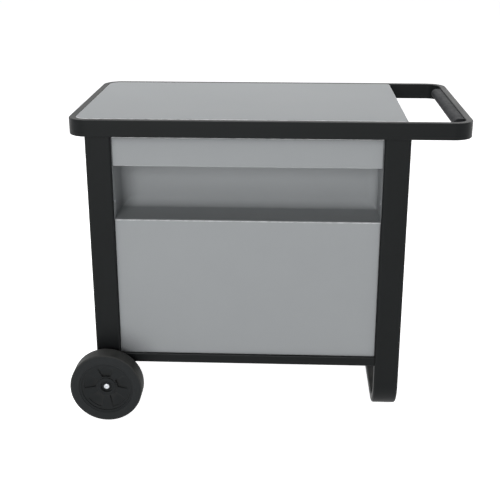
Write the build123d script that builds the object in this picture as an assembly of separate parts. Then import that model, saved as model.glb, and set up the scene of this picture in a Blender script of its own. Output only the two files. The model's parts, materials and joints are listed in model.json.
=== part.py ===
from build123d import *
import os

# Grill cart for a tabletop grill: a tube rim with a sheet worktop, two left legs on wheels,
# a bent sled frame on the right, a storage niche, a front panel and a tray for the gas bottle.
# Millimetres. +X runs to the handle, +Y to the back, +Z up. The origin is on the floor,
# under the middle of the cart. Front pieces are modelled and mirrored to the back.

os.makedirs("parts", exist_ok=True)

# Rim: a closed loop of flat tube, carried on past the right legs as the handle
RIM_DEPTH = 533.2
RIM_TOP = 760.4
RIM_HEIGHT = 40.2
RIM_THICK = 16.5
RIM_CORNER = 47.5
RIM_EDGE = 2.0
HANDLE_REACH = 144.3
TUBE_WALL = 1.5

# Legs and sled: wider flat tube
BAY_WIDTH = 645.0
LEG_WIDTH = 61.5
LEG_THICK = 22.0
LEG_EDGE = 6.0
LEG_SETBACK = 6.0
LEG_INSET = 41.6
LEG_BOTTOM = 45.0
SLED_BEND = 80.0
GLIDE_THICK = 1.0
GLIDE_SIDE_GAP = 9.5
GLIDE_LENGTH = 60.0
GLIDE_CORNER = 8.0
GLIDE_INSET = 150.0
PLUG_CAP = 3.0
PLUG_SPIGOT = 14.0
PLUG_CLEAR = 0.15

# Lower rails
RAIL_BOTTOM = 133.5
RAIL_HEIGHT = 24.5
RAIL_THICK = 20.0
RAIL_EDGE = 3.0

# Worktop and what carries it
SHEET = 1.0
WORKTOP_PROUD = 0.5
WORKTOP_GAP = 0.6
WORKTOP_END_INSET = 8.0
WORKTOP_END_CORNER = 10.0
WORKTOP_FLANGE = 16.0
WORKTOP_BEND = 2.0
BRACE_WIDTH = 40.0
BRACE_HEIGHT = 22.0
BRACE_SHEET = 2.0
BRACE_BEND = 3.0
BRACE_CORNER = 4.0
BRACE_INSET = 17.0
STIFFENER_BASE = 30.0
STIFFENER_LIP = 12.0
STIFFENER_END_GAP = 25.0
STIFFENER_SPACING = 240.0
STIFFENER_BEND = 2.0

# Handle grip
GRIP_END_GAP = 20.0
GRIP_WIDTH = 24.5
GRIP_HEIGHT = 19.0
GRIP_DROP = 3.0
GRIP_TOP_ROUND = 13.0
GRIP_LOW_ROUND = 5.0
GRIP_END_ROUND = 4.0
PEG_RADIUS = 4.0
PEG_LENGTH = 7.0
PEG_INSET = 57.0
PEG_CLEAR = 0.15

# Front sheets
PANEL_SETBACK = 13.0
PANEL_RETURN = 15.0
PANEL_FOOT_RETURN = 7.0
PANEL_CORNER = 3.0
PANEL_BEND = 2.5
PANEL_CLEAR = 0.5
APRON_HEIGHT = 70.7
NICHE_OPENING = 134.0
NICHE_DEPTH = 126.0
NICHE_ROUND = 24.0
NICHE_CLEAR = 0.3
NICHE_TOP_GAP = 2.0

# Bottle tray
TRAY_LAP = 6.0
TRAY_RIM = 14.0
TRAY_DEPTH = 20.0
TRAY_CORNER = 6.0
TRAY_BEND = 2.0
TRAY_END_GAP = 7.0

# Brackets at the leg tops and straps behind the rail ends
BRACKET_SHEET = 2.5
BRACKET_WIDTH = 38.0
BRACKET_UPPER = 22.0
BRACKET_LOWER = 45.0
BRACKET_BEND = 1.0
STRAP_LENGTH = 100.0
STRAP_EDGE_GAP = 2.0
STRAP_CORNER = 4.0

# Wheels and axle
WHEEL_RADIUS = 90.4
WHEEL_GAP = 19.5
TYRE_WIDTH = 46.0
TYRE_DEPTH = 24.0
TYRE_SHOULDER_DEPTH = 9.0
TYRE_SHOULDER_WIDTH = 4.0
TYRE_BEAD = 2.0
HUB_LIP = 2.0
HUB_LIP_WIDTH = 5.0
HUB_FACE = 5.0
HUB_WEB = 19.0
HUB_RIM_WALL = 6.0
HUB_DISH = 8.0
HUB_RING_FACE = 10.0
HUB_RING_WIDTH = 9.4
HUB_RECESS = 17.7
HUB_RECESS_RADIUS = 14.8
HUB_BOSS_RADIUS = 16.0
HUB_EDGE = 0.8
HUB_PLAY = 0.3
POCKET_COUNT = 5
POCKET_INNER_WALL = 2.6
POCKET_OUTER_WALL = 11.0
POCKET_ANGLE = 42.0
POCKET_DEPTH = 15.0
POCKET_CORNER = 3.0
RIB_THICK = 4.0
RIB_HEIGHT = 14.0
AXLE_RADIUS = 6.0
AXLE_OFFSET = 1.3
AXLE_RUNNING_CLEAR = 0.08
AXLE_HOLE_CLEAR = 0.05
AXLE_TUBE_WALL = 4.0
AXLE_TUBE_CLEAR = 0.2
AXLE_TAP_DEPTH = 22.0
WASHER_THICK = 2.0
OUTER_WASHER_RADIUS = 11.0
INNER_WASHER_RADIUS = 14.0
WASHER_CLEAR = 0.2

# Fasteners
BOLT_RADIUS = 3.0
BOLT_LENGTH = 10.0
BOLT_HEAD_RADIUS = 5.25
BOLT_HEAD_HEIGHT = 3.3
BOLT_SOCKET = 2.3
SCREW_RADIUS = 2.0
SCREW_LENGTH = 8.0
SCREW_HEAD_RADIUS = 4.0
SCREW_HEAD_HEIGHT = 2.4
SCREW_SOCKET = 1.4
AXLE_SCREW_RADIUS = 4.0
AXLE_SCREW_LENGTH = 20.0
AXLE_SCREW_HEAD_RADIUS = 7.6
AXLE_SCREW_HEAD_HEIGHT = 5.0
AXLE_SCREW_SOCKET = 2.9
HEAD_ROUNDING = 0.6
HOLE_CLEAR = 0.1
BRACKET_BOLT_SPACING = 20.0
BRACE_BOLT_SPACING = 20.0
STRAP_BOLT_NEAR = 16.0
STRAP_BOLT_FAR = 38.0
PANEL_SCREW_INSET = 45.0
NICHE_SCREW_RISE = 45.0
SCREW_WALL_GAP = 2.0

# Places worked out from the sizes above
RIM_LENGTH = LEG_INSET + 2 * LEG_WIDTH + BAY_WIDTH + HANDLE_REACH
WHEEL_OVERHANG = max(0.0, WHEEL_RADIUS - LEG_INSET - LEG_WIDTH / 2 - AXLE_OFFSET)
RIM_RIGHT = (RIM_LENGTH + WHEEL_OVERHANG) / 2
RIM_LEFT = RIM_RIGHT - RIM_LENGTH
RIM_X = (RIM_LEFT + RIM_RIGHT) / 2
RIM_FRONT = -RIM_DEPTH / 2
RIM_INNER = RIM_FRONT + RIM_THICK
RIM_BOTTOM = RIM_TOP - RIM_HEIGHT
LEFT_LEG_X = RIM_LEFT + LEG_INSET + LEG_WIDTH / 2
BAY_LEFT = LEFT_LEG_X + LEG_WIDTH / 2
BAY_RIGHT = BAY_LEFT + BAY_WIDTH
BAY_X = (BAY_LEFT + BAY_RIGHT) / 2
RIGHT_LEG_X = BAY_RIGHT + LEG_WIDTH / 2
AXLE_X = LEFT_LEG_X + AXLE_OFFSET
BRACKET_XS = (LEFT_LEG_X, RIGHT_LEG_X)
LEG_FRONT = RIM_FRONT + LEG_SETBACK
LEG_Y = LEG_FRONT + LEG_THICK / 2
LEG_BACK = LEG_FRONT + LEG_THICK
RAIL_TOP = RAIL_BOTTOM + RAIL_HEIGHT
RAIL_Y = LEG_BACK - RAIL_THICK / 2
RAIL_Z = RAIL_BOTTOM + RAIL_HEIGHT / 2
WORKTOP_TOP = RIM_TOP + WORKTOP_PROUD
WORKTOP_LEFT = RIM_LEFT + RIM_THICK + WORKTOP_GAP
WORKTOP_LENGTH = RIGHT_LEG_X + LEG_WIDTH / 2 - WORKTOP_END_INSET - WORKTOP_LEFT
WORKTOP_X = WORKTOP_LEFT + WORKTOP_LENGTH / 2
WORKTOP_CORNER = RIM_CORNER - RIM_THICK - WORKTOP_GAP
BRACE_TOP = WORKTOP_TOP - WORKTOP_FLANGE
BRACE_LEFT_X = BAY_LEFT + BRACE_INSET + BRACE_WIDTH / 2
BRACE_RIGHT_X = BAY_RIGHT - BRACE_INSET - BRACE_WIDTH / 2
BRACE_XS = (BRACE_LEFT_X, BAY_X, BRACE_RIGHT_X)
STIFFENER_HEIGHT = WORKTOP_FLANGE - SHEET
STIFFENER_LENGTH = WORKTOP_LENGTH - 2 * STIFFENER_END_GAP
GRIP_X = RIM_RIGHT - RIM_THICK
GRIP_TOP = RIM_TOP - GRIP_DROP
GRIP_LENGTH = RIM_DEPTH - 2 * (RIM_CORNER + GRIP_END_GAP)
PANEL_FRONT = RIM_FRONT + PANEL_SETBACK
NICHE_FRONT = PANEL_FRONT + SHEET + NICHE_CLEAR
NICHE_TOP = RIM_BOTTOM - NICHE_TOP_GAP
NICHE_WIDTH = BAY_WIDTH - 2 * NICHE_CLEAR
APRON_BOTTOM = NICHE_TOP - APRON_HEIGHT
APRON_WIDTH = NICHE_WIDTH - 2 * (SHEET + NICHE_CLEAR)
PANEL_TOP = APRON_BOTTOM - NICHE_OPENING
SHEET_SCREW_Y = PANEL_FRONT + SHEET + SCREW_HEAD_RADIUS + SCREW_WALL_GAP
TRAY_LENGTH = BAY_WIDTH - 2 * TRAY_END_GAP
TRAY_WALL_Y = TRAY_LAP - LEG_BACK - TRAY_RIM
TRAY_BOTTOM = RAIL_TOP + SHEET - TRAY_DEPTH
TYRE_SEAT = WHEEL_RADIUS - TYRE_DEPTH
WHEEL_FACE = LEG_FRONT - WHEEL_GAP - TYRE_WIDTH
HUB_BACK = TYRE_WIDTH + WHEEL_GAP - WASHER_THICK - HUB_PLAY
AXLE_END = WHEEL_FACE + HUB_RECESS - HUB_PLAY
AXLE_BORE = AXLE_RADIUS + AXLE_RUNNING_CLEAR

# Turns that lay a piece's own +Z along another direction
TO_FRONT = Rot(90, 0, 0)
TO_BACK = Rot(-90, 0, 0)
TO_RIGHT = Rot(0, 90, 0)
TO_LEFT = Rot(0, -90, 0)
TO_BELOW = Rot(180, 0, 0)


def to_rear(pieces):
    """Copies of front pieces at the back, mirrored across the middle of the cart."""
    return [mirror(piece, about=Plane.XZ) for piece in pieces]


def front_and_rear(pieces):
    """Front pieces with their mirrored copies."""
    return pieces + to_rear(pieces)


def on_axle(piece, y):
    """A round piece set on the axle line, its own +Z facing the front."""
    return Pos(AXLE_X, y, WHEEL_RADIUS) * TO_FRONT * piece


def tube_core(width, thick, edge):
    """Inside outline of a flat tube."""
    return RectangleRounded(width - 2 * TUBE_WALL, thick - 2 * TUBE_WALL, edge - TUBE_WALL)


def tube_section(width, thick, edge):
    """Cross-section of a flat tube with rounded edges."""
    return RectangleRounded(width, thick, edge) - tube_core(width, thick, edge)


def pan(outline, depth, bend, sheet):
    """Folded sheet pan: flat top at Z = 0, walls hanging down, open below."""
    block = extrude(outline, -depth)
    block = fillet(block.edges().group_by(Axis.Z)[-1], bend)
    return offset(block, amount=-sheet, openings=block.faces().sort_by(Axis.Z)[0])


def socket_screw(radius, length, head_radius, head_height, socket):
    """Button-head screw: head above Z = 0 with a hex socket, shank below."""
    head = extrude(Circle(head_radius), head_height)
    head = fillet(head.edges().group_by(Axis.Z)[-1], head_height * HEAD_ROUNDING)
    head -= Pos(0, 0, head_height / 2) * extrude(RegularPolygon(socket, 6), head_height)
    return head + extrude(Circle(radius), -length)


def bolts_at(places):
    """Frame bolts, heads standing on the given places."""
    bolt = socket_screw(BOLT_RADIUS, BOLT_LENGTH, BOLT_HEAD_RADIUS, BOLT_HEAD_HEIGHT, BOLT_SOCKET)
    return [place * bolt for place in places]


def screws_at(places):
    """Small sheet screws, heads standing on the given places."""
    screw = socket_screw(
        SCREW_RADIUS, SCREW_LENGTH, SCREW_HEAD_RADIUS, SCREW_HEAD_HEIGHT, SCREW_SOCKET
    )
    return [place * screw for place in places]


def bolt_holes(places):
    """Drillings for the bolts at these places."""
    return [place * extrude(Circle(BOLT_RADIUS + HOLE_CLEAR), -BOLT_LENGTH) for place in places]


def screw_holes(places):
    """Drillings for the small screws at these places."""
    return [place * extrude(Circle(SCREW_RADIUS + HOLE_CLEAR), -SCREW_LENGTH) for place in places]


def at_pair(middle, spacing):
    """Two positions either side of a middle."""
    return (middle - spacing / 2, middle + spacing / 2)


def bracket_bolt_places(y, z):
    """Bolt heads on one leaf of both front brackets."""
    rows = [at_pair(bracket_x, BRACKET_BOLT_SPACING) for bracket_x in BRACKET_XS]
    return [Pos(x, y + BRACKET_SHEET, z) * TO_BACK for row in rows for x in row]


def brace_bolt_places(brace_x):
    """Bolt heads inside the front end of a brace."""
    z = BRACE_TOP - BRACE_HEIGHT / 2
    return [Pos(x, RIM_INNER + BRACE_SHEET, z) * TO_BACK for x in at_pair(brace_x, BRACE_BOLT_SPACING)]


def brace_screw_places(brace_x):
    """Screw heads under the top of a brace, driven up into the stiffeners."""
    z = BRACE_TOP - BRACE_SHEET
    return [Pos(brace_x, y, z) * TO_BELOW for y in at_pair(0, STIFFENER_SPACING)]


def strap_bolt_places(joint_x):
    """Bolt heads on the strap behind one end of the front rail."""
    reaches = (-STRAP_BOLT_FAR, -STRAP_BOLT_NEAR, STRAP_BOLT_NEAR, STRAP_BOLT_FAR)
    return [Pos(joint_x + reach, LEG_BACK + BRACKET_SHEET, RAIL_Z) * TO_BACK for reach in reaches]


def side_screw_places(inset, height):
    """Screw heads inside the end walls of a front sheet, driven sideways into the two legs."""
    left = Pos(BAY_LEFT + inset, SHEET_SCREW_Y, height) * TO_RIGHT
    right = Pos(BAY_RIGHT - inset, SHEET_SCREW_Y, height) * TO_LEFT
    return [left, right]


BRACKET_TOP_Z = RIM_BOTTOM + BRACKET_UPPER
RIM_BOLT_Z = (RIM_BOTTOM + BRACKET_BEND + BRACKET_SHEET + BRACKET_TOP_Z) / 2
RIM_BOLTS = bracket_bolt_places(RIM_INNER, RIM_BOLT_Z)
LEG_BOLTS = bracket_bolt_places(LEG_BACK, RIM_BOTTOM - BRACKET_LOWER / 2)
BRACE_BOLTS = [place for brace_x in BRACE_XS for place in brace_bolt_places(brace_x)]
BRACE_SCREWS = [place for brace_x in BRACE_XS for place in brace_screw_places(brace_x)]
STRAP_BOLTS = strap_bolt_places(BAY_LEFT) + strap_bolt_places(BAY_RIGHT)
PANEL_LOW_SCREWS = side_screw_places(PANEL_CLEAR + SHEET, RAIL_TOP + PANEL_SCREW_INSET)
PANEL_HIGH_SCREWS = side_screw_places(PANEL_CLEAR + SHEET, PANEL_TOP - PANEL_SCREW_INSET)
PANEL_SCREWS = PANEL_LOW_SCREWS + PANEL_HIGH_SCREWS
NICHE_SCREWS = side_screw_places(NICHE_CLEAR + SHEET, PANEL_TOP + NICHE_SCREW_RISE)
APRON_SCREWS = side_screw_places(2 * (NICHE_CLEAR + SHEET), APRON_BOTTOM + APRON_HEIGHT / 2)
SHEET_SCREWS = PANEL_SCREWS + NICHE_SCREWS + APRON_SCREWS
PEG_YS = (PEG_INSET - GRIP_LENGTH / 2, 0, GRIP_LENGTH / 2 - PEG_INSET)
PEG_PLACES = [Pos(GRIP_X, y, GRIP_TOP - GRIP_HEIGHT / 2) * TO_RIGHT for y in PEG_YS]


def rim_loop(inset, height, edge):
    """Closed loop along the rim, drawn in from the tube's surface by an inset."""
    deep = RIM_THICK - inset
    outer = RectangleRounded(RIM_LENGTH - 2 * inset, RIM_DEPTH - 2 * inset, RIM_CORNER - inset)
    inner = RectangleRounded(RIM_LENGTH - 2 * deep, RIM_DEPTH - 2 * deep, RIM_CORNER - deep)
    loop = extrude(outer - inner, height / 2, both=True)
    rows = loop.edges().group_by(Axis.Z)
    return fillet(rows[0] + rows[-1], edge)


def make_rim():
    """Loop of hollow tube, drilled inside for the brackets, the braces and the grip's pegs."""
    tube = rim_loop(0, RIM_HEIGHT, RIM_EDGE)
    tube -= rim_loop(TUBE_WALL, RIM_HEIGHT - 2 * TUBE_WALL, RIM_EDGE - TUBE_WALL)
    tube = Pos(RIM_X, 0, RIM_TOP - RIM_HEIGHT / 2) * tube
    drilled = bolt_holes(RIM_BOLTS + BRACE_BOLTS)
    pegs = [place * extrude(Circle(PEG_RADIUS + PEG_CLEAR), PEG_LENGTH) for place in PEG_PLACES]
    return tube - drilled - to_rear(drilled) - pegs


def make_worktop():
    """Sheet pan lying inside the rim, its top a little proud and its left corners round."""
    outline = Rectangle(WORKTOP_LENGTH, RIM_DEPTH - 2 * (RIM_THICK + WORKTOP_GAP))
    outline = fillet(outline.vertices().group_by(Axis.X)[0], WORKTOP_CORNER)
    outline = fillet(outline.vertices().group_by(Axis.X)[-1], WORKTOP_END_CORNER)
    return Pos(WORKTOP_X, 0, WORKTOP_TOP) * pan(outline, WORKTOP_FLANGE, WORKTOP_BEND, SHEET)


def make_brace(brace_x):
    """Channel across the rim under the worktop, its closed ends bolted to the rim."""
    outline = RectangleRounded(BRACE_WIDTH, RIM_DEPTH - 2 * RIM_THICK, BRACE_CORNER)
    channel = Pos(brace_x, 0, BRACE_TOP) * pan(outline, BRACE_HEIGHT, BRACE_BEND, BRACE_SHEET)
    drilled = bolt_holes(brace_bolt_places(brace_x))
    return channel - drilled - to_rear(drilled) - screw_holes(brace_screw_places(brace_x))


def make_stiffener(y):
    """Hat channel along the worktop, its lips against the sheet and its base on the braces."""
    half = (STIFFENER_BASE - SHEET) / 2
    low = SHEET / 2
    high = STIFFENER_HEIGHT - SHEET / 2
    line = FilletPolyline(
        (-half - STIFFENER_LIP, high), (-half, high), (-half, low),
        (half, low), (half, high), (half + STIFFENER_LIP, high),
        radius=STIFFENER_BEND,
    )
    hat = extrude(Plane.YZ * trace(line, SHEET), STIFFENER_LENGTH / 2, both=True)
    return Pos(WORKTOP_X, y, BRACE_TOP) * hat - screw_holes(BRACE_SCREWS)


def make_grip():
    """Half-round moulded grip inside the handle end, held by three pegs in the rim."""
    outline = Pos(GRIP_X - GRIP_WIDTH / 2, GRIP_TOP - GRIP_HEIGHT / 2) * Rectangle(GRIP_WIDTH, GRIP_HEIGHT)
    low_corner, top_corner = outline.vertices().sort_by(Axis.X)[:2].sort_by(Axis.Y)
    outline = fillet(top_corner, GRIP_TOP_ROUND)
    low_corner = outline.vertices().sort_by_distance(low_corner.center())[0]
    outline = fillet(low_corner, GRIP_LOW_ROUND)
    body = extrude(Plane.XZ * outline, GRIP_LENGTH / 2, both=True)
    end_edges = body.faces().filter_by(Axis.Y).edges()
    body = fillet(end_edges.filter_by(lambda edge: edge.center().X < GRIP_X - 1), GRIP_END_ROUND)
    return body + [place * extrude(Circle(PEG_RADIUS), PEG_LENGTH) for place in PEG_PLACES]


def is_left(x):
    """True on the wheel side."""
    return x < BAY_X


def is_right(x):
    """True on the sled side."""
    return x > BAY_X


def leg_holes(screws, is_here):
    """Fastener holes of one front leg."""
    drilled = bolt_holes(LEG_BOLTS + STRAP_BOLTS) + screw_holes(screws)
    return [hole for hole in drilled if is_here(hole.center().X)]


def make_left_leg(screws):
    """Straight leg at the front left, drilled for the axle and its fasteners."""
    tube = extrude(tube_section(LEG_WIDTH, LEG_THICK, LEG_EDGE), RIM_BOTTOM - LEG_BOTTOM)
    tube = Pos(LEFT_LEG_X, LEG_Y, LEG_BOTTOM) * tube
    axle_hole = on_axle(Cylinder(AXLE_RADIUS + AXLE_HOLE_CLEAR, 2 * LEG_THICK), LEG_Y)
    return tube - axle_hole - leg_holes(screws, is_left)


def make_sled():
    """Right side frame: one flat tube bent twice into front leg, floor run and rear leg."""
    floor_z = GLIDE_THICK + LEG_THICK / 2
    path = Plane.YZ * FilletPolyline(
        (LEG_Y, RIM_BOTTOM), (LEG_Y, floor_z), (-LEG_Y, floor_z), (-LEG_Y, RIM_BOTTOM),
        radius=SLED_BEND - LEG_THICK / 2,
    )
    path = Pos(RIGHT_LEG_X, 0, 0) * path
    start = Plane(path @ 0, x_dir=(1, 0, 0), z_dir=path % 0)
    tube = sweep(start * RectangleRounded(LEG_WIDTH, LEG_THICK, LEG_EDGE), path=path)
    tube -= sweep(start * tube_core(LEG_WIDTH, LEG_THICK, LEG_EDGE), path=path)
    return tube - leg_holes(SHEET_SCREWS, is_right) - to_rear(leg_holes([], is_right))


def make_plug():
    """Moulded plug in the foot of the left front leg."""
    cap = extrude(RectangleRounded(LEG_WIDTH, LEG_THICK, LEG_EDGE), -PLUG_CAP)
    cap = fillet(cap.edges().group_by(Axis.Z)[0], PLUG_CAP / 2)
    shrink = TUBE_WALL + PLUG_CLEAR
    spigot = RectangleRounded(LEG_WIDTH - 2 * shrink, LEG_THICK - 2 * shrink, LEG_EDGE - shrink)
    return Pos(LEFT_LEG_X, LEG_Y, LEG_BOTTOM) * (cap + extrude(spigot, PLUG_SPIGOT))


def make_glide():
    """Flat pad under the front of the sled."""
    width = LEG_WIDTH - 2 * GLIDE_SIDE_GAP
    pad = extrude(RectangleRounded(width, GLIDE_LENGTH, GLIDE_CORNER), GLIDE_THICK)
    return Pos(RIGHT_LEG_X, RIM_FRONT + GLIDE_INSET, 0) * pad


def make_bracket(bracket_x):
    """Joggled plate: upper leaf on the rim, web over the leg's open top, lower leaf on the leg."""
    half = BRACKET_SHEET / 2
    web_z = RIM_BOTTOM + BRACKET_BEND + half
    line = FilletPolyline(
        (RIM_INNER + half, BRACKET_TOP_Z), (RIM_INNER + half, web_z),
        (LEG_BACK + half, web_z), (LEG_BACK + half, RIM_BOTTOM - BRACKET_LOWER),
        radius=half + BRACKET_BEND,
    )
    plate = extrude(Plane.YZ * trace(line, BRACKET_SHEET), BRACKET_WIDTH / 2, both=True)
    return Pos(bracket_x, 0, 0) * plate - bolt_holes(RIM_BOLTS + LEG_BOLTS)


def make_rail():
    """Front lower rail between the legs."""
    tube = extrude(tube_section(RAIL_HEIGHT, RAIL_THICK, RAIL_EDGE), BAY_WIDTH / 2, both=True)
    return Pos(BAY_X, RAIL_Y, RAIL_Z) * TO_RIGHT * tube - bolt_holes(STRAP_BOLTS)


def make_strap(joint_x):
    """Flat strap behind the joint of a leg and the front rail."""
    height = RAIL_HEIGHT - 2 * STRAP_EDGE_GAP
    plate = extrude(RectangleRounded(STRAP_LENGTH, height, STRAP_CORNER), BRACKET_SHEET)
    return Pos(joint_x, LEG_BACK, RAIL_Z) * TO_BACK * plate - bolt_holes(STRAP_BOLTS)


def make_front_sheet(width, bottom, top, screws):
    """Folded sheet facing the front, its returns turned back all round."""
    sheet = pan(RectangleRounded(width, top - bottom, PANEL_CORNER), PANEL_RETURN, PANEL_BEND, SHEET)
    return Pos(BAY_X, PANEL_FRONT, (bottom + top) / 2) * TO_FRONT * sheet - screw_holes(screws)


def make_panel():
    """Lower front panel, standing on the rail with a shorter return in front of the tray."""
    sheet = make_front_sheet(BAY_WIDTH - 2 * PANEL_CLEAR, RAIL_TOP, PANEL_TOP, PANEL_SCREWS)
    spare = Box(BAY_WIDTH, PANEL_RETURN, TRAY_DEPTH, align=(Align.CENTER, Align.MIN, Align.MIN))
    return sheet - Pos(BAY_X, PANEL_FRONT + PANEL_FOOT_RETURN, RAIL_TOP) * spare


def make_niche():
    """Storage tub behind the apron, open to the front and above, its back wall run in on large bends."""
    height = NICHE_TOP - PANEL_TOP
    block = Box(NICHE_WIDTH, NICHE_DEPTH, height, align=(Align.CENTER, Align.MIN, Align.MIN))
    back = block.faces().sort_by(Axis.Y)[-1]
    roof = block.faces().sort_by(Axis.Z)[-1]
    block = fillet(back.edges() - roof.edges(), NICHE_ROUND)
    mouth = [block.faces().sort_by(Axis.Y)[0], block.faces().sort_by(Axis.Z)[-1]]
    tub = Pos(BAY_X, NICHE_FRONT, PANEL_TOP) * offset(block, amount=-SHEET, openings=mouth)
    return tub - screw_holes(NICHE_SCREWS + APRON_SCREWS)


def make_tray():
    """Flat floor sheet of the bottle tray, lying between its two hangers."""
    floor = extrude(RectangleRounded(TRAY_LENGTH, 2 * (TRAY_WALL_Y - SHEET), TRAY_CORNER), SHEET)
    return Pos(BAY_X, 0, TRAY_BOTTOM) * floor


def make_tray_hanger():
    """Front hanger of the tray: a lip on the rail and a wall down to the floor sheet."""
    wall = SHEET / 2 - TRAY_WALL_Y
    lip = RAIL_TOP + SHEET / 2
    line = FilletPolyline(
        (wall - TRAY_RIM + SHEET / 2, lip), (wall, lip), (wall, TRAY_BOTTOM), radius=TRAY_BEND
    )
    angle = extrude(Plane.YZ * trace(line, SHEET), TRAY_LENGTH / 2, both=True)
    return Pos(BAY_X, 0, 0) * angle


def hub_body():
    """Turned shape of the hub: tyre seat, lip, dished web, ring round the recess, long rear boss."""
    ring_radius = HUB_RECESS_RADIUS + HUB_RING_WIDTH
    lip = TYRE_SEAT - HUB_LIP_WIDTH
    inside = TYRE_SEAT - HUB_RIM_WALL
    web_back = -HUB_FACE - HUB_WEB
    section = make_face(Polyline(
        (AXLE_BORE, -HUB_RECESS), (HUB_RECESS_RADIUS, -HUB_RECESS),
        (HUB_RECESS_RADIUS, -HUB_RING_FACE), (ring_radius, -HUB_RING_FACE),
        (ring_radius, -HUB_FACE - HUB_DISH), (lip, -HUB_FACE), (lip, -HUB_LIP), (TYRE_SEAT, -HUB_LIP),
        (TYRE_SEAT, HUB_LIP - TYRE_WIDTH), (inside, HUB_LIP - TYRE_WIDTH),
        (inside, web_back), (HUB_BOSS_RADIUS, web_back),
        (HUB_BOSS_RADIUS, -HUB_BACK), (AXLE_BORE, -HUB_BACK),
        close=True,
    ))
    soft = section.vertices().filter_by(lambda corner: AXLE_BORE + 1 < corner.X < TYRE_SEAT - 1)
    return revolve(Plane.XZ * fillet(soft, HUB_EDGE), Axis.Z)


def spoke_pocket():
    """Pocket between two spokes, lying along +X: its floor falls from the lip towards the ring."""
    inner = HUB_RECESS_RADIUS + HUB_RING_WIDTH + POCKET_INNER_WALL
    outer = TYRE_SEAT - POCKET_OUTER_WALL
    ray = Vector(2 * outer, 0)
    half = POCKET_ANGLE / 2
    wedge = Polygon((0, 0), ray.rotate(Axis.Z, -half), ray.rotate(Axis.Z, half), align=None)
    mouth = (Circle(outer) - Circle(inner)) & wedge
    mouth = fillet(mouth.vertices(), POCKET_CORNER)
    bowl = make_face(Polyline(
        (0, 0), (outer, 0), (outer, -HUB_DISH / 2), (inner, -POCKET_DEPTH), (0, -POCKET_DEPTH), close=True
    ))
    return extrude(mouth, -POCKET_DEPTH) & revolve(Plane.XZ * bowl, Axis.Z)


def make_hub():
    """Moulded wheel hub with five pockets in front and a rib behind each spoke."""
    pitch = 360 / POCKET_COUNT
    web_back = -HUB_FACE - HUB_WEB
    reach = TYRE_SEAT - HUB_RIM_WALL - HUB_BOSS_RADIUS
    rib = Box(reach + 2, RIB_THICK, RIB_HEIGHT + 1, align=(Align.MIN, Align.CENTER, Align.MAX))
    rib = Pos(HUB_BOSS_RADIUS - 1, 0, web_back + 1) * rib
    pocket = Pos(0, 0, -HUB_FACE) * spoke_pocket()
    hub = hub_body() + [Rot(0, 0, 90 + (i + 0.5) * pitch) * rib for i in range(POCKET_COUNT)]
    hub -= [Rot(0, 0, 90 + i * pitch) * pocket for i in range(POCKET_COUNT)]
    dish = hub.faces().filter_by(GeomType.CONE).sort_by(SortBy.AREA)[-1]
    return fillet(dish.inner_wires().edges(), HUB_EDGE)


def make_tyre():
    """Plain tyre pressed over the hub, with round shoulders."""
    tread = WHEEL_RADIUS - TYRE_SHOULDER_DEPTH
    near = -TYRE_SHOULDER_WIDTH
    far = TYRE_SHOULDER_WIDTH - TYRE_WIDTH
    shoulder = (TYRE_SHOULDER_DEPTH, TYRE_SHOULDER_WIDTH)
    section = make_face([
        Polyline((tread, 0), (TYRE_SEAT + TYRE_BEAD, 0), (TYRE_SEAT, -TYRE_BEAD),
                 (TYRE_SEAT, TYRE_BEAD - TYRE_WIDTH), (TYRE_SEAT + TYRE_BEAD, -TYRE_WIDTH),
                 (tread, -TYRE_WIDTH)),
        EllipticalCenterArc((tread, far), *shoulder, start_angle=270, arc_size=90),
        Line((WHEEL_RADIUS, far), (WHEEL_RADIUS, near)),
        EllipticalCenterArc((tread, near), *shoulder, start_angle=0, arc_size=90),
    ])
    return revolve(Plane.XZ * section, Axis.Z)


def make_axle():
    """Steel axle with a tapped hole in each end."""
    rod = on_axle(Cylinder(AXLE_RADIUS, -2 * AXLE_END), 0)
    tap = on_axle(extrude(Circle(AXLE_SCREW_RADIUS + HOLE_CLEAR), -AXLE_TAP_DEPTH), AXLE_END)
    return rod - front_and_rear([tap])


def make_axle_tube():
    """Spacer tube on the axle between the two left legs."""
    inner = AXLE_RADIUS + AXLE_TUBE_CLEAR
    ring = Circle(inner + AXLE_TUBE_WALL) - Circle(inner)
    return on_axle(extrude(ring, LEG_BACK, both=True), 0)


def make_washer(radius, hole, y):
    """Nylon washer on the axle line, its back against the given Y."""
    ring = Circle(radius) - Circle(hole + WASHER_CLEAR)
    return on_axle(extrude(ring, WASHER_THICK), y)


def make_axle_screw():
    """Button-head screw in the front end of the axle, outside the washer."""
    screw = socket_screw(
        AXLE_SCREW_RADIUS, AXLE_SCREW_LENGTH, AXLE_SCREW_HEAD_RADIUS,
        AXLE_SCREW_HEAD_HEIGHT, AXLE_SCREW_SOCKET,
    )
    return on_axle(screw, AXLE_END - WASHER_THICK)


rail = make_rail()
hub = on_axle(make_hub(), WHEEL_FACE)
tyre = on_axle(make_tyre(), WHEEL_FACE)
outer_washer = make_washer(OUTER_WASHER_RADIUS, AXLE_SCREW_RADIUS, AXLE_END)
inner_washer = make_washer(INNER_WASHER_RADIUS, AXLE_RADIUS, LEG_FRONT)

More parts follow.
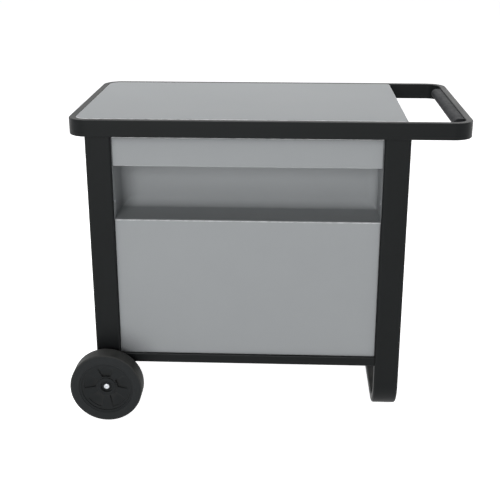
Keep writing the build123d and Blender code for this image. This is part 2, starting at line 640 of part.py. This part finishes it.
NODES = {
    "top_rim": [make_rim()],
    "worktop": [make_worktop()],
    "left_brace": [make_brace(BRACE_LEFT_X)],
    "middle_brace": [make_brace(BAY_X)],
    "right_brace": [make_brace(BRACE_RIGHT_X)],
    "front_stiffener": [make_stiffener(-STIFFENER_SPACING / 2)],
    "rear_stiffener": [make_stiffener(STIFFENER_SPACING / 2)],
    "handle_grip": [make_grip()],
    "left_front_leg": [make_left_leg(SHEET_SCREWS)],
    "left_rear_leg": to_rear([make_left_leg([])]),
    "sled_frame": [make_sled()],
    "leg_end_plugs": front_and_rear([make_plug()]),
    "sled_glides": front_and_rear([make_glide()]),
    "leg_brackets": front_and_rear([make_bracket(x) for x in BRACKET_XS]),
    "front_rail": [rail],
    "rear_rail": to_rear([rail]),
    "rail_straps": front_and_rear([make_strap(BAY_LEFT), make_strap(BAY_RIGHT)]),
    "front_apron": [make_front_sheet(APRON_WIDTH, APRON_BOTTOM, NICHE_TOP, APRON_SCREWS)],
    "storage_niche": [make_niche()],
    "front_panel": [make_panel()],
    "bottle_tray": [make_tray()],
    "tray_hangers": front_and_rear([make_tray_hanger()]),
    "axle": [make_axle()],
    "axle_tube": [make_axle_tube()],
    "axle_screws": front_and_rear([make_axle_screw()]),
    "outer_washers": front_and_rear([outer_washer]),
    "inner_washers": front_and_rear([inner_washer]),
    "front_hub": [hub],
    "front_tyre": [tyre],
    "rear_hub": to_rear([hub]),
    "rear_tyre": to_rear([tyre]),
    "bracket_bolts": front_and_rear(bolts_at(RIM_BOLTS + LEG_BOLTS)),
    "brace_bolts": front_and_rear(bolts_at(BRACE_BOLTS)),
    "strap_bolts": front_and_rear(bolts_at(STRAP_BOLTS)),
    "panel_screws": screws_at(PANEL_SCREWS),
    "niche_screws": screws_at(NICHE_SCREWS),
    "apron_screws": screws_at(APRON_SCREWS),
    "brace_screws": screws_at(BRACE_SCREWS),
}

for name, pieces in NODES.items():
    solids = [solid for piece in pieces for solid in piece.solids()]
    shape = solids[0] if len(solids) == 1 else Compound(children=solids)
    export_step(shape, f"parts/{name}.step")
    print(name, len(solids))
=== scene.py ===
import json
import math

import bpy
from mathutils import Matrix, Vector

# Looks of the grill cart: a finish for every CAD piece, the studio and the camera.

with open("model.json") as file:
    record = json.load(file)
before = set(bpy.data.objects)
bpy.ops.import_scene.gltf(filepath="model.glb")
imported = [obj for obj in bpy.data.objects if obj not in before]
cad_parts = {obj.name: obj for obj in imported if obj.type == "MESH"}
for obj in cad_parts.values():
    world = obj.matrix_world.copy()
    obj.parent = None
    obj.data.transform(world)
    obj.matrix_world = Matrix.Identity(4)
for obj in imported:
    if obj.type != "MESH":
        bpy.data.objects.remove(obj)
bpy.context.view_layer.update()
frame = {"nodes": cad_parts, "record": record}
nodes = frame["nodes"]
record = frame["record"]
scene = bpy.context.scene

# Camera, solved from the straight edges in the photograph
CAMERA_PLACE = Vector((0.060775, -2.44095, 1.22631))
CAMERA_DOWN = math.radians(19.757)
CAMERA_LEFT = math.radians(2.5255)
CAMERA_LENS = 68.589
SENSOR = 36.0

# Softboxes: name, place, point they look at, width and power
SOFTBOXES = (
    ("overhead_softbox", (-0.4, 0.9, 3.2), (0.0, 0.0, 0.5), 3.0, 73.0),
    ("front_softbox", (-0.8, -5.4, 1.9), (0.0, 0.0, 0.4), 2.6, 158.0),
    ("left_fill", (-3.2, 1.5, 1.4), (0.0, 0.0, 0.4), 2.0, 18.0),
    ("right_fill", (3.2, 1.5, 1.4), (0.0, 0.0, 0.4), 2.0, 30.0),
)

# Studio: a bright wall low behind the cart in a dim room, and a floor with a glow of its own.
# The first glow is what the cart gets from the floor, the second what the eye and mirrors see.
WALL_DIRECTION = (0.35, 0.92, 0.17)
WALL_EDGE = 0.75
WALL_STRENGTH = 1.6
ROOM_STRENGTH = 0.02
FLOOR_SIZE = 60.0
FLOOR_PAINT = "#f2f2f2"
FLOOR_GLOW_FELT = 0.37
FLOOR_GLOW_SEEN = 0.92

# Sizes of the patterns, in millimetres. The pits in the rubber and the turning marks are finer
# on the real pieces, and are drawn coarser here so that they show.
COAT_CLOUD_MM = 120.0
DUST_PATCH_MM = 60.0
# Patches of the painted highlight on the bends
HIGHLIGHT_PATCH_MM = 14.0
EDGE_PATCH_MM = 9.0
FLOW_MARK_MM = 35.0
RUBBER_PIT_MM = 1.6
RUBBER_CLOUD_MM = 22.0
SPANGLE_MM = 1.5
TURNING_MARK_MM = 0.5
TURNING_DEPTH_MM = 0.1

# How far the surroundings count, in millimetres: for the painted shade beside other pieces, for bends
# too sheltered for the painted highlight, for the painted fill light in a moulding's hollows, and for its
# rubbed edges
PAINTED_SHADE_REACH_MM = 70.0
SHELTER_REACH_MM = 80.0
HOLLOW_REACH_MM = 15.0
EDGE_REACH_MM = 1.2
OPENNESS_SAMPLES = 16
EDGE_SAMPLES = 6

# Where each mask starts and where it is full: how open the surface is for hollows, how much of
# that other pieces take away for meetings, and for the rest the cosine of an angle: from the
# nearest axis for bends, from the rounded edge's normal for edges, from straight up for tops
HOLLOW_START, HOLLOW_FULL = 0.95, 0.4
MEETING_START, MEETING_FULL = 0.03, 0.5
BEND_START, BEND_FULL = 0.998, 0.93
EDGE_START, EDGE_FULL = 0.99, 0.85
TOP_START, TOP_FULL = 0.5, 0.95

# Painted highlight on bends: full where they look up this much, this share where they don't, none where
# the hollow mask reaches this, and in patches no weaker than the least
HIGHLIGHT_UP = 0.4
HIGHLIGHT_UPRIGHT = 0.15
SHELTERED = 0.05
LEAST_HIGHLIGHT = 0.5

# Span that most of a noise pattern lies in, and a narrower one for patches with clearer edges
NOISE_SPAN = {"From Min": 0.3, "From Max": 0.7}
PATCH_SPAN = {"From Min": 0.35, "From Max": 0.65}

# How far the roughness of each finish strays from its middle
COAT_STRAY = 0.05
MOULDING_STRAY = 0.06
RUBBER_STRAY = 0.08

DUST = "#b9b6b0"
MOST_DUST = 0.06

# Wheels, as in the CAD: both axle ends share their X and Z, and the tread is the outermost rubber
WHEEL_CENTRE = Vector(record["behaviour"]["joints"][0]["pos_m"])
WHEEL_RADIUS = WHEEL_CENTRE.z
TREAD_START = WHEEL_RADIUS - 0.004
TREAD_FULL = WHEEL_RADIUS - 0.0005
WHEEL_PLANE = (1.0, 0.0, 1.0)

# Screws that were painted with the sheets they hold
PAINTED_SCREWS = ("panel_screws", "niche_screws", "apron_screws")


def linear(colour):
    """sRGB hex colour as linear red, green, blue and alpha."""
    channels = [int(colour[i:i + 2], 16) / 255 for i in (1, 3, 5)]
    return [c / 12.92 if c <= 0.04045 else ((c + 0.055) / 1.055) ** 2.4 for c in channels] + [1.0]


def across(size_mm):
    """Texture scale whose features are this many millimetres across."""
    return 1000.0 / size_mm


def add(tree, kind, links=None, values=None, **settings):
    """Adds a node with its settings, its fixed input values and its links from other sockets."""
    node = tree.nodes.new(kind)
    for name, value in settings.items():
        setattr(node, name, value)
    for name, value in (values or {}).items():
        node.inputs[name].default_value = value
    for name, socket in (links or {}).items():
        tree.links.new(socket, node.inputs[name])
    return node


def new_material(name):
    """Empty node material and the piece's own coordinates in it."""
    material = bpy.data.materials.new(name)
    material.use_nodes = True
    tree = material.node_tree
    tree.nodes.clear()
    return material, tree, add(tree, "ShaderNodeTexCoord").outputs["Object"]


def patches(tree, place, size_mm, least):
    """Uneven patches from the least strength to full."""
    noise = add(tree, "ShaderNodeTexNoise", {"Vector": place}, {"Scale": across(size_mm), "Detail": 5.0})
    return add(tree, "ShaderNodeMapRange", {"Value": noise.outputs["Fac"]},
               {**PATCH_SPAN, "To Min": least}).outputs["Result"]


def hollows(tree, reach_mm):
    """Mask in the hollows of a piece, where bends get no painted highlight and mouldings get painted fill
    light.
    """
    own = add(tree, "ShaderNodeAmbientOcclusion", values={"Distance": reach_mm / 1000},
              samples=OPENNESS_SAMPLES, only_local=True)
    return add(tree, "ShaderNodeMapRange", {"Value": own.outputs["AO"]},
               {"From Min": HOLLOW_START, "From Max": HOLLOW_FULL}).outputs["Result"]


def meetings(tree):
    """Mask for painted shade close to other pieces: how much less open the surface is with them than
    without.
    """
    reach = {"Distance": PAINTED_SHADE_REACH_MM / 1000}
    alone, among = (add(tree, "ShaderNodeAmbientOcclusion", values=reach,
                        samples=OPENNESS_SAMPLES, only_local=local) for local in (True, False))
    shares = {0: alone.outputs["AO"], 1: among.outputs["AO"]}
    closed = add(tree, "ShaderNodeMath", shares, operation="SUBTRACT").outputs["Value"]
    return add(tree, "ShaderNodeMapRange", {"Value": closed},
               {"From Min": MEETING_START, "From Max": MEETING_FULL}).outputs["Result"]


def bend_highlight(tree, place):
    """Mask for a painted highlight on the open bends of tube and sheet, strongest on those that look up, in
    patches.
    """
    normal = add(tree, "ShaderNodeNewGeometry").outputs["Normal"]
    size = add(tree, "ShaderNodeVectorMath", {0: normal}, operation="ABSOLUTE").outputs["Vector"]
    side = add(tree, "ShaderNodeSeparateXYZ", {"Vector": size}).outputs
    level = {0: side["X"], 1: side["Y"]}
    level = add(tree, "ShaderNodeMath", level, operation="MAXIMUM").outputs["Value"]
    square = add(tree, "ShaderNodeMath", {0: level, 1: side["Z"]}, operation="MAXIMUM").outputs["Value"]
    bend = add(tree, "ShaderNodeMapRange", {"Value": square},
               {"From Min": BEND_START, "From Max": BEND_FULL})
    up = add(tree, "ShaderNodeSeparateXYZ", {"Vector": normal}).outputs["Z"]
    above = add(tree, "ShaderNodeMapRange", {"Value": up},
                {"From Max": HIGHLIGHT_UP, "To Min": HIGHLIGHT_UPRIGHT})
    highlit = {0: bend.outputs["Result"], 1: above.outputs["Result"]}
    highlit = add(tree, "ShaderNodeMath", highlit, operation="MULTIPLY").outputs["Value"]
    uneven = {0: highlit, 1: patches(tree, place, HIGHLIGHT_PATCH_MM, LEAST_HIGHLIGHT)}
    uneven = add(tree, "ShaderNodeMath", uneven, operation="MULTIPLY").outputs["Value"]
    reached = add(tree, "ShaderNodeMapRange", {"Value": hollows(tree, SHELTER_REACH_MM)},
                  {"From Min": SHELTERED, "From Max": 0.0})
    wear_and_highlight = {0: uneven, 1: reached.outputs["Result"]}
    return add(tree, "ShaderNodeMath", wear_and_highlight, operation="MULTIPLY").outputs["Value"]


def worn_edges(tree, place):
    """Mask along the sharp edges of a moulding, broken into patches."""
    flat = add(tree, "ShaderNodeNewGeometry").outputs["Normal"]
    soft = add(tree, "ShaderNodeBevel", values={"Radius": EDGE_REACH_MM / 1000}, samples=EDGE_SAMPLES)
    turn = {0: flat, 1: soft.outputs["Normal"]}
    turn = add(tree, "ShaderNodeVectorMath", turn, operation="DOT_PRODUCT").outputs["Value"]
    edge = add(tree, "ShaderNodeMapRange", {"Value": turn},
               {"From Min": EDGE_START, "From Max": EDGE_FULL})
    wear_and_highlight = {0: edge.outputs["Result"], 1: patches(tree, place, EDGE_PATCH_MM, 0.0)}
    return add(tree, "ShaderNodeMath", wear_and_highlight, operation="MULTIPLY").outputs["Value"]


def dusty_top(tree, place):
    """Mask on faces that look up, where dust settles, thinner in places."""
    normal = add(tree, "ShaderNodeNewGeometry").outputs["Normal"]
    up = add(tree, "ShaderNodeSeparateXYZ", {"Vector": normal}).outputs["Z"]
    noise = add(tree, "ShaderNodeTexNoise", {"Vector": place},
                {"Scale": across(DUST_PATCH_MM), "Detail": 6.0})
    film = add(tree, "ShaderNodeMapRange", {"Value": noise.outputs["Fac"]},
               {**NOISE_SPAN, "To Max": MOST_DUST})
    face = add(tree, "ShaderNodeMapRange", {"Value": up}, {"From Min": TOP_START, "From Max": TOP_FULL})
    dust = {0: face.outputs["Result"], 1: film.outputs["Result"]}
    return add(tree, "ShaderNodeMath", dust, operation="MULTIPLY").outputs["Value"]


def finish(tree, colour, roughness, height, depth_mm, level):
    """Principled shader for a coat or moulding, with its grain as bump."""
    bump = add(tree, "ShaderNodeBump", {"Height": height}, {"Strength": 1.0, "Distance": depth_mm / 1000})
    links = {"Base Color": colour, "Roughness": roughness, "Normal": bump.outputs["Normal"]}
    shader = add(tree, "ShaderNodeBsdfPrincipled", links, {"Specular IOR Level": level})
    add(tree, "ShaderNodeOutputMaterial", {"Surface": shader.outputs["BSDF"]})


def coated(name, colour, deep, wear_and_highlight, painted_shade, roughness, level, peel_mm, peel_depth_mm):
    """Powder coat on steel: fine orange peel, faint clouding, dust, a painted highlight on bends that look
    up, and painted shade beside other pieces.
    """
    material, tree, place = new_material(name)
    clouds = add(tree, "ShaderNodeTexNoise", {"Vector": place},
                 {"Scale": across(COAT_CLOUD_MM), "Detail": 4.0, "Roughness": 0.6}).outputs["Fac"]
    coat = add(tree, "ShaderNodeMix", {"Factor": clouds},
               {"A": linear(deep), "B": linear(colour)}, data_type="RGBA").outputs["Result"]
    # Painted shade beside other pieces, dust on tops, and a painted highlight on bends that look up
    layers = ((meetings(tree), painted_shade), (dusty_top(tree, place), DUST), (bend_highlight(tree, place), wear_and_highlight))
    for mask, tint in layers:
        coat = add(tree, "ShaderNodeMix", {"Factor": mask, "A": coat},
                   {"B": linear(tint)}, data_type="RGBA").outputs["Result"]
    peel = add(tree, "ShaderNodeTexNoise", {"Vector": place},
               {"Scale": across(peel_mm), "Detail": 2.0, "Roughness": 0.45}).outputs["Fac"]
    dull = add(tree, "ShaderNodeMapRange", {"Value": clouds},
               {**NOISE_SPAN, "To Min": roughness - COAT_STRAY, "To Max": roughness + COAT_STRAY})
    finish(tree, coat, dull.outputs["Result"], peel, peel_depth_mm, level)
    return material


def moulded(name, colour, deep, wear_and_highlight, dust_and_fill_light, roughness, level, grain_mm, grain_depth_mm):
    """Moulded plastic: eroded mould grain, slow flow marks, rubbed edges, and painted fill light that lifts
    the shade in the hollows.
    """
    material, tree, place = new_material(name)
    flow = add(tree, "ShaderNodeTexNoise", {"Vector": place},
               {"Scale": across(FLOW_MARK_MM), "Detail": 3.0, "Distortion": 1.5}).outputs["Fac"]
    resin = add(tree, "ShaderNodeMix", {"Factor": flow},
                {"A": linear(deep), "B": linear(colour)}, data_type="RGBA").outputs["Result"]
    # Painted fill light in the hollows, then rubbed edges
    layers = ((hollows(tree, HOLLOW_REACH_MM), dust_and_fill_light), (worn_edges(tree, place), wear_and_highlight))
    for mask, tint in layers:
        resin = add(tree, "ShaderNodeMix", {"Factor": mask, "A": resin},
                    {"B": linear(tint)}, data_type="RGBA").outputs["Result"]
    # Real mould grain is finer, and is drawn coarser here so that it shows
    grain = add(tree, "ShaderNodeTexVoronoi", {"Vector": place},
                {"Scale": across(grain_mm)}).outputs["Distance"]
    dull = add(tree, "ShaderNodeMapRange", {"Value": flow},
               {**NOISE_SPAN, "To Min": roughness - MOULDING_STRAY, "To Max": roughness + MOULDING_STRAY})
    finish(tree, resin, dull.outputs["Result"], grain, grain_depth_mm, level)
    return material


def rubber(name, colour, deep, dust_and_fill_light, roughness, level, pit_depth_mm):
    """Tyre rubber: dull, finely pitted, the tread paler, partly from wear on the ground and partly painted
    light that lifts its shade.
    """
    material, tree, place = new_material(name)
    arm = add(tree, "ShaderNodeVectorMath", {0: place}, {1: WHEEL_CENTRE}, operation="SUBTRACT")
    spoke = add(tree, "ShaderNodeVectorMath", {0: arm.outputs["Vector"]}, {1: WHEEL_PLANE},
                operation="MULTIPLY")
    reach = add(tree, "ShaderNodeVectorMath", {0: spoke.outputs["Vector"]}, operation="LENGTH")
    tread = add(tree, "ShaderNodeMapRange", {"Value": reach.outputs["Value"]},
                {"From Min": TREAD_START, "From Max": TREAD_FULL}).outputs["Result"]
    pits = add(tree, "ShaderNodeTexNoise", {"Vector": place},
               {"Scale": across(RUBBER_PIT_MM), "Detail": 3.0, "Roughness": 0.6}).outputs["Fac"]
    clouds = add(tree, "ShaderNodeTexNoise", {"Vector": place},
                 {"Scale": across(RUBBER_CLOUD_MM), "Detail": 5.0, "Roughness": 0.6}).outputs["Fac"]
    # Paler tread: partly ground wear, partly painted light lifting the shade under the cart
    paler_tread = add(tree, "ShaderNodeMath", {0: tread, 1: clouds}, operation="MULTIPLY").outputs["Value"]
    compound = add(tree, "ShaderNodeMix", {"Factor": clouds},
                   {"A": linear(deep), "B": linear(colour)}, data_type="RGBA").outputs["Result"]
    toned_tread = add(tree, "ShaderNodeMix", {"Factor": paler_tread, "A": compound},
                 {"B": linear(dust_and_fill_light)}, data_type="RGBA").outputs["Result"]
    dull = add(tree, "ShaderNodeMapRange", {"Value": clouds},
               {**NOISE_SPAN, "To Min": roughness - RUBBER_STRAY, "To Max": roughness + RUBBER_STRAY})
    finish(tree, toned_tread, dull.outputs["Result"], pits, pit_depth_mm, level)
    return material


def plated(name, colour, deep, roughness):
    """Zinc plate on steel: bright, with faint spangle and fine turning marks."""
    material, tree, place = new_material(name)
    spangle = add(tree, "ShaderNodeTexVoronoi", {"Vector": place},
                  {"Scale": across(SPANGLE_MM)}).outputs["Color"]
    grey = add(tree, "ShaderNodeRGBToBW", {"Color": spangle}).outputs["Val"]
    zinc = add(tree, "ShaderNodeMix", {"Factor": grey},
               {"A": linear(deep), "B": linear(colour)}, data_type="RGBA").outputs["Result"]
    dull = add(tree, "ShaderNodeMapRange", {"Value": grey},
               {"To Min": roughness - 0.08, "To Max": roughness + 0.1}).outputs["Result"]
    marks = add(tree, "ShaderNodeTexNoise", {"Vector": place},
                {"Scale": across(TURNING_MARK_MM), "Detail": 2.0}).outputs["Fac"]
    bump = add(tree, "ShaderNodeBump", {"Height": marks},
               {"Strength": 0.3, "Distance": TURNING_DEPTH_MM / 1000})
    links = {"Base Color": zinc, "Roughness": dull, "Normal": bump.outputs["Normal"]}
    shader = add(tree, "ShaderNodeBsdfPrincipled", links, {"Metallic": 1.0})
    add(tree, "ShaderNodeOutputMaterial", {"Surface": shader.outputs["BSDF"]})
    return material


FINISHES = {
    # Satin black: nearly no mirror seen square on, a clear pale sheen along the tops; a painted highlight
    # on bends that look up, painted shade beside other pieces
    "frame_black": coated(
        "black_powder_coated_steel", colour="#1a1c1d", deep="#171919", wear_and_highlight="#303233", painted_shade="#141516",
        roughness=0.42, level=0.09, peel_mm=3.0, peel_depth_mm=0.02),
    # Smooth light grey: even, cool, a painted highlight along the folds that look up, painted shade beside
    # other pieces
    "sheet_grey": coated(
        "grey_powder_coated_steel", colour="#9ea1a3", deep="#9a9d9f", wear_and_highlight="#eceeef", painted_shade="#66686a",
        roughness=0.55, level=0.08, peel_mm=2.5, peel_depth_mm=0.012),
    # Screws painted with the sheet, the painted highlight on their domes kept to nearly the coat's own
    # grey, painted shade beside other pieces
    "painted_screws": coated(
        "grey_painted_screw_steel", colour="#9ea1a3", deep="#9a9d9f", wear_and_highlight="#96999b", painted_shade="#66686a",
        roughness=0.55, level=0.08, peel_mm=2.5, peel_depth_mm=0.012),
    # Dark grey, slightly pebbled grip
    "grip_plastic": moulded(
        "moulded_grained_nylon", colour="#292a2c", deep="#252628", wear_and_highlight="#343537", dust_and_fill_light="#292a2c",
        roughness=0.55, level=0.07, grain_mm=1.1, grain_depth_mm=0.06),
    # Black hub, plugs, glides and washers with a plain fine grain, paler in the pockets as painted fill
    # light
    "black_plastic": moulded(
        "moulded_black_polypropylene", colour="#262829", deep="#232526", wear_and_highlight="#2c2e2f", dust_and_fill_light="#343535",
        roughness=0.55, level=0.07, grain_mm=0.9, grain_depth_mm=0.03),
    # Dull rubber, browner and paler on the tread: ground wear and painted light lifting its shade
    "tyre": rubber(
        "moulded_tyre_rubber", colour="#2a2c2d", deep="#27292a", dust_and_fill_light="#4c4c4a",
        roughness=0.62, level=0.09, pit_depth_mm=0.05),
    # Bright fasteners and axle
    "plated_steel": plated("zinc_plated_steel", colour="#c8cacd", deep="#aeb1b5", roughness=0.3),
}


def dress_cart():
    """Gives every CAD piece the finish of its slot."""
    for part in record["subparts"]:
        slot = "painted_screws" if part["node"] in PAINTED_SCREWS else part["material_slot"]
        mesh = nodes[part["node"]].data
        mesh.materials.clear()
        mesh.materials.append(FINISHES[slot])


def seen(tree):
    """1 for rays from the camera, a mirror or glass, which show the background, and else 0."""
    ray = add(tree, "ShaderNodeLightPath").outputs
    shown = {0: ray["Is Camera Ray"], 1: ray["Is Glossy Ray"]}
    shown = add(tree, "ShaderNodeMath", shown, operation="MAXIMUM").outputs["Value"]
    through = {0: shown, 1: ray["Is Transmission Ray"]}
    return add(tree, "ShaderNodeMath", through, operation="MAXIMUM").outputs["Value"]


def make_floor():
    """Pale studio floor that keeps a soft shadow and shows as white around the cart."""
    material, tree, _ = new_material("pale_studio_floor")
    paint = add(tree, "ShaderNodeBsdfDiffuse", values={"Color": linear(FLOOR_PAINT)})
    glow = add(tree, "ShaderNodeMapRange", {"Value": seen(tree)},
               {"To Min": FLOOR_GLOW_FELT, "To Max": FLOOR_GLOW_SEEN})
    white = add(tree, "ShaderNodeEmission", {"Strength": glow.outputs["Result"]})
    both = add(tree, "ShaderNodeAddShader", {0: paint.outputs["BSDF"], 1: white.outputs["Emission"]})
    add(tree, "ShaderNodeOutputMaterial", {"Surface": both.outputs["Shader"]})
    bpy.ops.mesh.primitive_plane_add(size=FLOOR_SIZE)
    floor = bpy.context.object
    floor.name = "studio_floor"
    floor.data.materials.append(material)


def make_world():
    """Dim room with a white wall low behind the cart; it shows as white all round."""
    world = bpy.data.worlds.new("white_studio")
    scene.world = world
    world.use_nodes = True
    tree = world.node_tree
    tree.nodes.clear()
    direction = add(tree, "ShaderNodeTexCoord").outputs["Generated"]
    toward = add(tree, "ShaderNodeVectorMath", {0: direction}, {1: WALL_DIRECTION}, operation="DOT_PRODUCT")
    wall = add(tree, "ShaderNodeMapRange", {"Value": toward.outputs["Value"]},
               {"From Min": WALL_EDGE, "To Min": ROOM_STRENGTH, "To Max": WALL_STRENGTH}).outputs["Result"]
    white = add(tree, "ShaderNodeMath", {0: wall, 1: seen(tree)}, operation="MAXIMUM")
    light = add(tree, "ShaderNodeBackground", {"Strength": white.outputs["Value"]},
                {"Color": linear("#ffffff")})
    add(tree, "ShaderNodeOutputWorld", {"Surface": light.outputs["Background"]})


def make_softbox(name, place, target, size, power):
    """Square area light aimed at a point."""
    data = bpy.data.lights.new(name, "AREA")
    data.size = size
    data.energy = power
    lamp = bpy.data.objects.new(name, data)
    scene.collection.objects.link(lamp)
    lamp.location = place
    lamp.rotation_euler = (Vector(target) - Vector(place)).to_track_quat("-Z", "Y").to_euler()


def make_camera():
    """Camera at the photograph's place and angle."""
    data = bpy.data.cameras.new("photo_camera")
    data.sensor_width = SENSOR
    data.lens = CAMERA_LENS
    camera = bpy.data.objects.new("photo_camera", data)
    scene.collection.objects.link(camera)
    turn = Matrix.Rotation(CAMERA_LEFT, 4, "Z") @ Matrix.Rotation(math.pi / 2 - CAMERA_DOWN, 4, "X")
    camera.matrix_world = Matrix.Translation(CAMERA_PLACE) @ turn
    scene.camera = camera


dress_cart()
make_floor()
make_world()
for softbox in SOFTBOXES:
    make_softbox(*softbox)
make_camera()
scene.view_settings.view_transform = "Standard"
